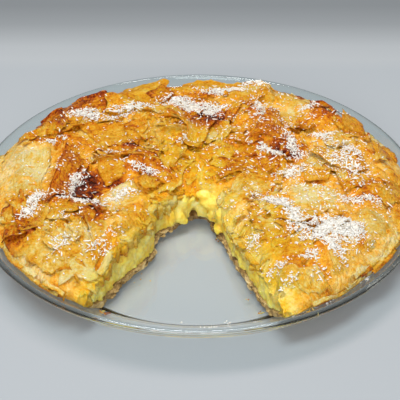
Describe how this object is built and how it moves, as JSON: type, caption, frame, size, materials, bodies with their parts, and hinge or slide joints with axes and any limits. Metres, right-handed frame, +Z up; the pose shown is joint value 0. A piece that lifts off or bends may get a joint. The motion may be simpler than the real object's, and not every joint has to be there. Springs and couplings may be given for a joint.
{
  "type": "custard feteer",
  "caption": "Round custard pie of crumpled filo with a soft yellow filling and shredded coconut, one wedge cut out, in its own clear glass pie dish.",
  "frame": {"origin": "centre of the dish's flat underside, on the table", "axes": "+Z up; the cut wedge opens towards -Y; +X to the right as seen from that side"},
  "size_m": [0.2776, 0.2776, 0.0462],
  "materials": {
    "dish_glass": "clear, smooth pressed glass with a faint green edge",
    "bottom_crust": "baked brown filo, matt and flaky",
    "custard": "moist set custard, satin",
    "filo": "buttered golden filo, crisp, satin, with white shredded coconut"
  },
  "bodies": {
    "root": {"glass_dish": "dish_glass", "pastry_base": "bottom_crust", "custard": "custard", "pastry_top": "filo"}
  },
  "joints": []
}
